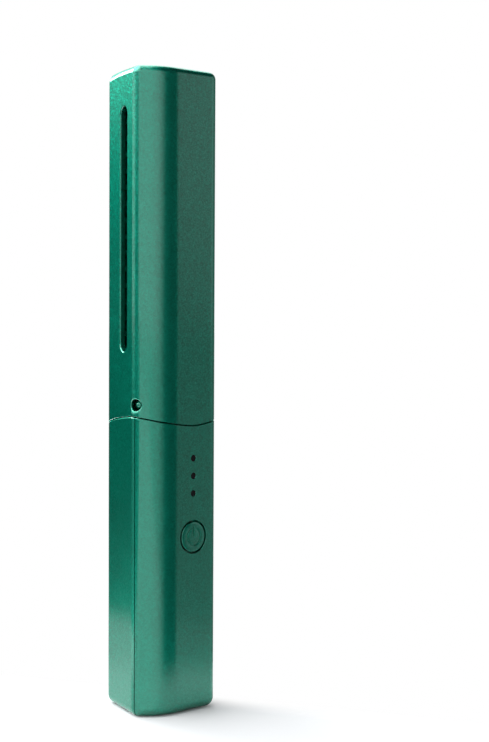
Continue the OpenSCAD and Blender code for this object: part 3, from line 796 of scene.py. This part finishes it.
class Graph:
    """Node tree of a material or of the world."""

    def __init__(self, tree):
        self.tree = tree
        tree.nodes.clear()

    def node(self, kind, settings=None, inputs=None, output=0):
        made = self.tree.nodes.new(kind)
        for key, value in (settings or {}).items():
            setattr(made, key, value)
        for key, value in (inputs or {}).items():
            if isinstance(value, Wire):
                self.tree.links.new(value.socket, made.inputs[key])
            else:
                made.inputs[key].default_value = value
        return Wire(self, made.outputs[output]) if made.outputs else made

    def mix(self, factor, a, b):
        """Colour between a and b."""
        a = (*a, 1) if isinstance(a, tuple) else a
        b = (*b, 1) if isinstance(b, tuple) else b
        return self.node("ShaderNodeMix", {"data_type": "RGBA"}, {0: factor, 6: a, 7: b}, 2)

    def vector(self, operation, a, b, output=0):
        return self.node("ShaderNodeVectorMath", {"operation": operation}, {0: a, 1: b}, output)

    def scaled(self, a, k):
        return self.node("ShaderNodeVectorMath", {"operation": "SCALE"}, {0: a, "Scale": k})

    def place(self):
        return self.node("ShaderNodeTexCoord", output="Object")

    def noise(self, scale, detail=3.0, where=None):
        values = {"Vector": where or self.place(), "Scale": scale, "Detail": detail}
        return self.node("ShaderNodeTexNoise", None, values, "Fac")

    def cells(self, scale, output, where):
        values = {"Vector": where, "Scale": scale}
        return self.node("ShaderNodeTexVoronoi", None, values, output)

    def bump(self, height, depth, strength):
        values = {"Height": height, "Distance": depth, "Strength": strength}
        return self.node("ShaderNodeBump", None, values)


def surface(name, values):
    """New material whose shader takes the values that a maker gives for its graph."""
    material = bpy.data.materials.new(name)
    material.use_nodes = True
    graph = Graph(material.node_tree)
    made = values(graph)
    shader = graph.node("ShaderNodeBsdfPrincipled", None, made)
    graph.node("ShaderNodeOutputMaterial", None, {"Surface": shader})
    return material


def lacquer(graph):
    """Metallic lacquer: fine flakes that each lie at their own tilt, under a glossy clear coat."""
    where = graph.place()
    tilt = graph.cells(3600, "Color", where)
    coarse = graph.cells(1750, "Color", where)
    parts = graph.node("ShaderNodeSeparateColor", None, {0: tilt}, 0)
    large = graph.node("ShaderNodeSeparateColor", None, {0: coarse}, 1)
    cloud = graph.noise(90, 2.0, where)
    shine = parts * 0.5 + large * 0.3 + cloud * 0.2
    tone = graph.mix(shine.at_most(1.0), (0.003, 0.17, 0.11), (0.007, 0.3, 0.2))
    normal = graph.node("ShaderNodeNewGeometry", None, None, "Normal")
    lean = graph.vector("SUBTRACT", tilt, (0.5, 0.5, 0.5))
    lean_coarse = graph.vector("SUBTRACT", coarse, (0.5, 0.5, 0.5))
    lean = graph.vector("ADD", graph.scaled(lean, 0.17), graph.scaled(lean_coarse, 0.07))
    normal = graph.vector("NORMALIZE", graph.vector("ADD", normal, lean), (0, 0, 0))
    return {
        "Base Color": tone,
        "Metallic": 1.0,
        "Roughness": graph.noise(60, 3.0, where) * 0.06 + 0.385,
        "Specular Tint": (0.4, 0.9, 0.75, 1),
        "Coat Weight": 1.0,
        "Coat Roughness": 0.1,
        "Coat IOR": 1.6,
        "Normal": normal,
    }


def moulded(colour, rough=0.5, grain=900, depth=0.00003):
    """Moulded plastic with a fine spark-eroded texture."""

    def values(graph):
        where = graph.place()
        cloud = graph.noise(70, 3.0, where)
        fine = graph.noise(grain, 3.0, where)
        pale = tuple(min(c * 1.25 + 0.004, 1) for c in colour)
        return {
            "Base Color": graph.mix(cloud, colour, pale),
            "Roughness": fine * 0.16 + (rough - 0.08),
            "Normal": graph.bump(fine, depth, 0.5),
        }

    return values


def metal(colour, rough=0.28, stretch=(1, 1, 0.04)):
    """Drawn or plated metal with fine lines along its length."""

    def values(graph):
        where = graph.node("ShaderNodeMapping", None, {"Vector": graph.place(), "Scale": stretch})
        lines = graph.noise(2400, 3.0, where)
        cloud = graph.noise(120, 3.0)
        worn = tuple(c * 0.72 for c in colour)
        return {
            "Base Color": graph.mix(cloud, worn, colour),
            "Metallic": 1.0,
            "Roughness": lines * 0.14 + (rough - 0.07),
            "Normal": graph.bump(lines, 0.00001, 0.4),
        }

    return values


def laminate(graph):
    """Solder mask over copper traces on glass laminate."""
    where = graph.place()
    trace = graph.cells(520, "Distance", where)
    weave = graph.noise(1500, 2.0, where)
    lines = trace.above(0.34)
    return {
        "Base Color": graph.mix(lines * 0.6, (0.012, 0.085, 0.035), (0.02, 0.14, 0.055)),
        "Roughness": weave * 0.12 + 0.3,
        "Normal": graph.bump(lines + weave * 0.3, 0.00002, 0.5),
    }


def fired(colour):
    """Fired ceramic: matt, with faint specks."""

    def values(graph):
        where = graph.place()
        specks = graph.cells(1300, "Distance", where)
        fine = graph.noise(1100, 4.0, where)
        dark = tuple(c * 0.8 for c in colour)
        return {
            "Base Color": graph.mix(specks.at_most(1.0), dark, colour),
            "Roughness": fine * 0.15 + 0.55,
            "Normal": graph.bump(fine, 0.00003, 0.6),
        }

    return values


def flaky(graph):
    """Pressed mica: thin overlapping scales."""
    where = graph.place()
    scales = graph.cells(700, "Color", where)
    level = graph.node("ShaderNodeSeparateColor", None, {0: scales}, 0)
    return {
        "Base Color": graph.mix(level, (0.42, 0.33, 0.15), (0.66, 0.54, 0.3)),
        "Roughness": level * 0.2 + 0.3,
        "Normal": graph.bump(level, 0.00003, 0.6),
    }


def sleeve(colour, rough=0.45):
    """Wire insulation, slightly wavy and dusty."""

    def values(graph):
        where = graph.place()
        wave = graph.noise(380, 2.0, where)
        dust = graph.noise(1600, 4.0, where)
        pale = tuple(c * 0.9 + 0.05 for c in colour)
        return {
            "Base Color": graph.mix(dust * 0.4, colour, pale),
            "Roughness": dust * 0.2 + (rough - 0.1),
            "Normal": graph.bump(wave, 0.00004, 0.4),
        }

    return values


def foam(graph):
    where = graph.place()
    pores = graph.cells(2300, "Distance", where)
    return {
        "Base Color": graph.mix(pores.at_most(1.0), (0.012, 0.012, 0.013), (0.07, 0.072, 0.076)),
        "Roughness": pores * 0.1 + 0.82,
        "Normal": graph.bump(pores, 0.00012, 0.9),
    }


def glass_black(graph):
    """Smoked light guide: dark and polished, with faint moulding flow."""
    where = graph.place()
    flow = graph.noise(500, 2.0, where)
    return {
        "Base Color": graph.mix(flow, (0.001, 0.001, 0.0015), (0.004, 0.004, 0.005)),
        "Roughness": flow * 0.08 + 0.12,
        "Specular IOR Level": 0.25,
        "Normal": graph.bump(flow, 0.00001, 0.3),
    }


FINISHES = {
    "green_lacquer": lacquer,
    "heater_black": moulded((0.012, 0.012, 0.013), 0.5, 1400, 0.00002),
    "ceramic_white": fired((0.82, 0.79, 0.72)),
    "mica_tan": flaky,
    "clamp_grey": moulded((0.05, 0.05, 0.052)),
    "fuse_body": fired((0.65, 0.62, 0.54)),
    "sensor_blue": moulded((0.03, 0.06, 0.16), 0.3),
    "lead_red": sleeve((0.45, 0.02, 0.015)),
    "lead_white": sleeve((0.78, 0.77, 0.72)),
    "lead_black": sleeve((0.015, 0.015, 0.015)),
    "light_smoke": glass_black,
    "led_white": fired((0.85, 0.84, 0.76)),
    "board_green": laminate,
    "chip_black": moulded((0.012, 0.012, 0.013), 0.6),
    "plunger_grey": moulded((0.6, 0.6, 0.58), 0.45),
    "inductor_grey": fired((0.06, 0.06, 0.062)),
    "capacitor_tan": fired((0.45, 0.27, 0.12)),
    "steel": metal((0.62, 0.62, 0.63)),
    "wrap_blue": sleeve((0.03, 0.12, 0.38), 0.32),
    "foam_grey": foam,
}
materials = {slot: surface(slot, values) for slot, values in FINISHES.items()}


def coat(thing, slot):
    thing.data.materials.clear()
    thing.data.materials.append(materials[slot])


for row in frame["record"]["subparts"]:
    coat(frame["nodes"][row["node"]], row["material_slot"])
for thing in (cap, front, rear, comb, spine, left_catch, right_catch, button):
    coat(thing, "green_lacquer")


# Floor, light and camera

# The camera sees the floor matt, turning white behind the object and far from it.
# Other rays find it polished, except close to the foot.

floor_mesh = bpy.data.meshes.new("floor")
floor_mesh.from_pydata([(-6, -6, 0), (6, -6, 0), (6, 6, 0), (-6, 6, 0)], [], [(0, 1, 2, 3)])
floor = bpy.data.objects.new("floor", floor_mesh)
bpy.context.scene.collection.objects.link(floor)


def heading(azimuth, elevation):
    """Unit vector from a compass angle in degrees, counter-clockwise from +X, and an elevation."""
    a, e = math.radians(azimuth), math.radians(elevation)
    return (math.cos(a) * math.cos(e), math.sin(a) * math.cos(e), math.sin(e))


# Soft panels of the studio: direction, half angle, softness, strength, and lower edge with its softness
PANELS = [
    (heading(140, 44), 44, 14, 1.1, (9.5, 5)),
    (heading(140, 48), 40, 14, 3.1, (20, 8)),
    (heading(151, 2), 22, 10, 1.0, None),
    (heading(195, 40), 30, 16, 1.7, (10, 7)),
    (heading(249, 12), 27, 12, 1.25, None),
    (heading(337, 12), 16, 8, 0.7, None),
    (heading(15, 10), 22, 14, 0.15, None),
    (heading(56, 42), 15, 8, 2.5, None),
]
AMBIENT = 0.012
BACKDROP = heading(61.5, 2)


def ramp(graph, value, low, high):
    """0 at low, 1 at high, smooth between them."""
    values = {0: value, 1: low, 2: high, 3: 0.0, 4: 1.0}
    return graph.node("ShaderNodeMapRange", {"interpolation_type": "SMOOTHSTEP"}, values)


def cosine(degrees):
    return math.cos(math.radians(degrees))


def sine(degrees):
    return math.sin(math.radians(degrees))


def seen_white(graph, behind):
    """Rays that see the white background: the camera's, and those of gloss and glass toward it."""
    camera_ray = graph.node("ShaderNodeLightPath", None, None, "Is Camera Ray")
    glossy_ray = graph.node("ShaderNodeLightPath", None, None, "Is Glossy Ray")
    clear_ray = graph.node("ShaderNodeLightPath", None, None, "Is Transmission Ray")
    return (camera_ray + (glossy_ray + clear_ray) * behind).at_most(1.0)


paper = bpy.data.materials.new("white_paper")
paper.use_nodes = True
graph = Graph(paper.node_tree)
where = graph.place()
away = graph.vector("LENGTH", where, (0, 0, 0), "Value")
fibre = graph.noise(500, 3.0, where)
tone = graph.mix(fibre, (0.62, 0.62, 0.63), (0.635, 0.635, 0.64))
matt = graph.node("ShaderNodeBsdfDiffuse", None, {"Color": tone, "Roughness": 0.4})
# Painted shade: rays off the object see the polished floor dark to the camera's left and pale only in a
# strip along the view, while the camera sees it evenly matt.
across = graph.vector("DOT_PRODUCT", where, heading(-28.5, 0), "Value")
strip = ramp(graph, across * across, 0.17**2, 0.1**2)
left = ramp(graph, across, -0.11, -0.15)
polish = graph.mix(left, graph.mix(strip, (0.5, 0.5, 0.5), (0.85, 0.85, 0.85)), (0.1, 0.1, 0.1))
polish = graph.node("ShaderNodeBsdfGlossy", None, {"Color": polish, "Roughness": 0.03})
white = graph.node("ShaderNodeEmission", None, {"Color": (1, 1, 1, 1), "Strength": 1.0})
# Painted light: just behind a line through the foot the floor glows white to the camera, which cuts off
# the far side of the object's cast shadow.
beyond = graph.vector("DOT_PRODUCT", where, heading(41.5, 0), "Value")
share = ramp(graph, away, 0.12, 0.35).at_least(ramp(graph, beyond, 0.0, 0.016))
toward = graph.vector("NORMALIZE", where, (0, 0, 0))
behind = ramp(graph, graph.vector("DOT_PRODUCT", toward, heading(38, 0), "Value"), 0.72, 0.86)
camera_ray = graph.node("ShaderNodeLightPath", None, None, "Is Camera Ray")
near = ramp(graph, away, 0.09, 0.035)
base = graph.node("ShaderNodeMixShader", None, {0: camera_ray.at_least(near), 1: polish, 2: matt})
shown = seen_white(graph, behind * 0.15) * share
blend = graph.node("ShaderNodeMixShader", None, {0: shown, 1: base, 2: white})
graph.node("ShaderNodeOutputMaterial", None, {"Surface": blend})
floor.data.materials.append(paper)

world = bpy.data.worlds.new("studio")
world.use_nodes = True
bpy.context.scene.world = world
graph = Graph(world.node_tree)
toward = graph.node("ShaderNodeTexCoord", None, None, "Generated")
height = graph.node("ShaderNodeSeparateXYZ", None, {0: toward}, 2)
level = None
for axis, wide, soft, strength, low in PANELS:
    along = graph.vector("DOT_PRODUCT", toward, axis, "Value")
    edge = ramp(graph, along, cosine(wide + soft), cosine(max(wide - soft, 0))) * strength
    if low is not None:
        edge = edge * ramp(graph, height, sine(low[0] - low[1]), sine(low[0] + low[1]))
    level = edge if level is None else level + edge
level = level + AMBIENT
facing = graph.vector("DOT_PRODUCT", toward, BACKDROP, "Value")
behind = ramp(graph, facing, cosine(32), cosine(22))
lit = graph.node("ShaderNodeBackground", None, {"Color": (0.97, 0.99, 1.0, 1), "Strength": level})
backdrop = graph.node("ShaderNodeBackground", None, {"Color": (1, 1, 1, 1), "Strength": 1.0})
blend = graph.node("ShaderNodeMixShader", None, {0: seen_white(graph, behind), 1: lit, 2: backdrop})
graph.node("ShaderNodeOutputWorld", None, {"Surface": blend})


def softbox(name, azimuth, elevation, distance, size, power):
    lamp = bpy.data.lights.new(name, "AREA")
    lamp.shape = "RECTANGLE"
    lamp.size, lamp.size_y = size
    lamp.energy = power
    thing = bpy.data.objects.new(name, lamp)
    bpy.context.scene.collection.objects.link(thing)
    axis = Vector(heading(azimuth, elevation))
    thing.location = axis * distance + Vector((0, 0, 0.09))
    thing.rotation_mode = "QUATERNION"
    thing.rotation_quaternion = axis.to_track_quat("Z", "Y")
    thing.visible_camera = False
    return thing


softbox("back_softbox", 112, 27, 1.1, (0.4, 0.3), 5)

# The camera, in metres and degrees: its heading is measured from +Y, clockwise as negative
FOCAL_PIXELS = 1475
PICTURE_HEIGHT = 742
CAMERA_BACK = 0.466
CAMERA_RIGHT = 0.02624
CAMERA_HEIGHT = 0.1254
CAMERA_TURN = -28.48
CAMERA_DOWN = 2.32
CAMERA_ROLL = 0.3

view = bpy.data.cameras.new("view")
view.sensor_width = 36
view.lens = FOCAL_PIXELS / PICTURE_HEIGHT * view.sensor_width
view.clip_start = 0.01
camera = bpy.data.objects.new("camera", view)
bpy.context.scene.collection.objects.link(camera)
turn = math.radians(CAMERA_TURN)
right = Vector((math.cos(turn), math.sin(turn), 0))
ahead = Vector((-math.sin(turn), math.cos(turn), 0))
camera.location = -ahead * CAMERA_BACK + right * CAMERA_RIGHT + Vector((0, 0, CAMERA_HEIGHT))
down = math.radians(CAMERA_DOWN)
look = ahead * math.cos(down) - Vector((0, 0, 1)) * math.sin(down)
camera.rotation_mode = "QUATERNION"
roll = Quaternion((0, 0, 1), math.radians(CAMERA_ROLL))
camera.rotation_quaternion = look.to_track_quat("-Z", "Y") @ roll
bpy.context.scene.camera = camera
bpy.context.scene.view_settings.view_transform = "Standard"
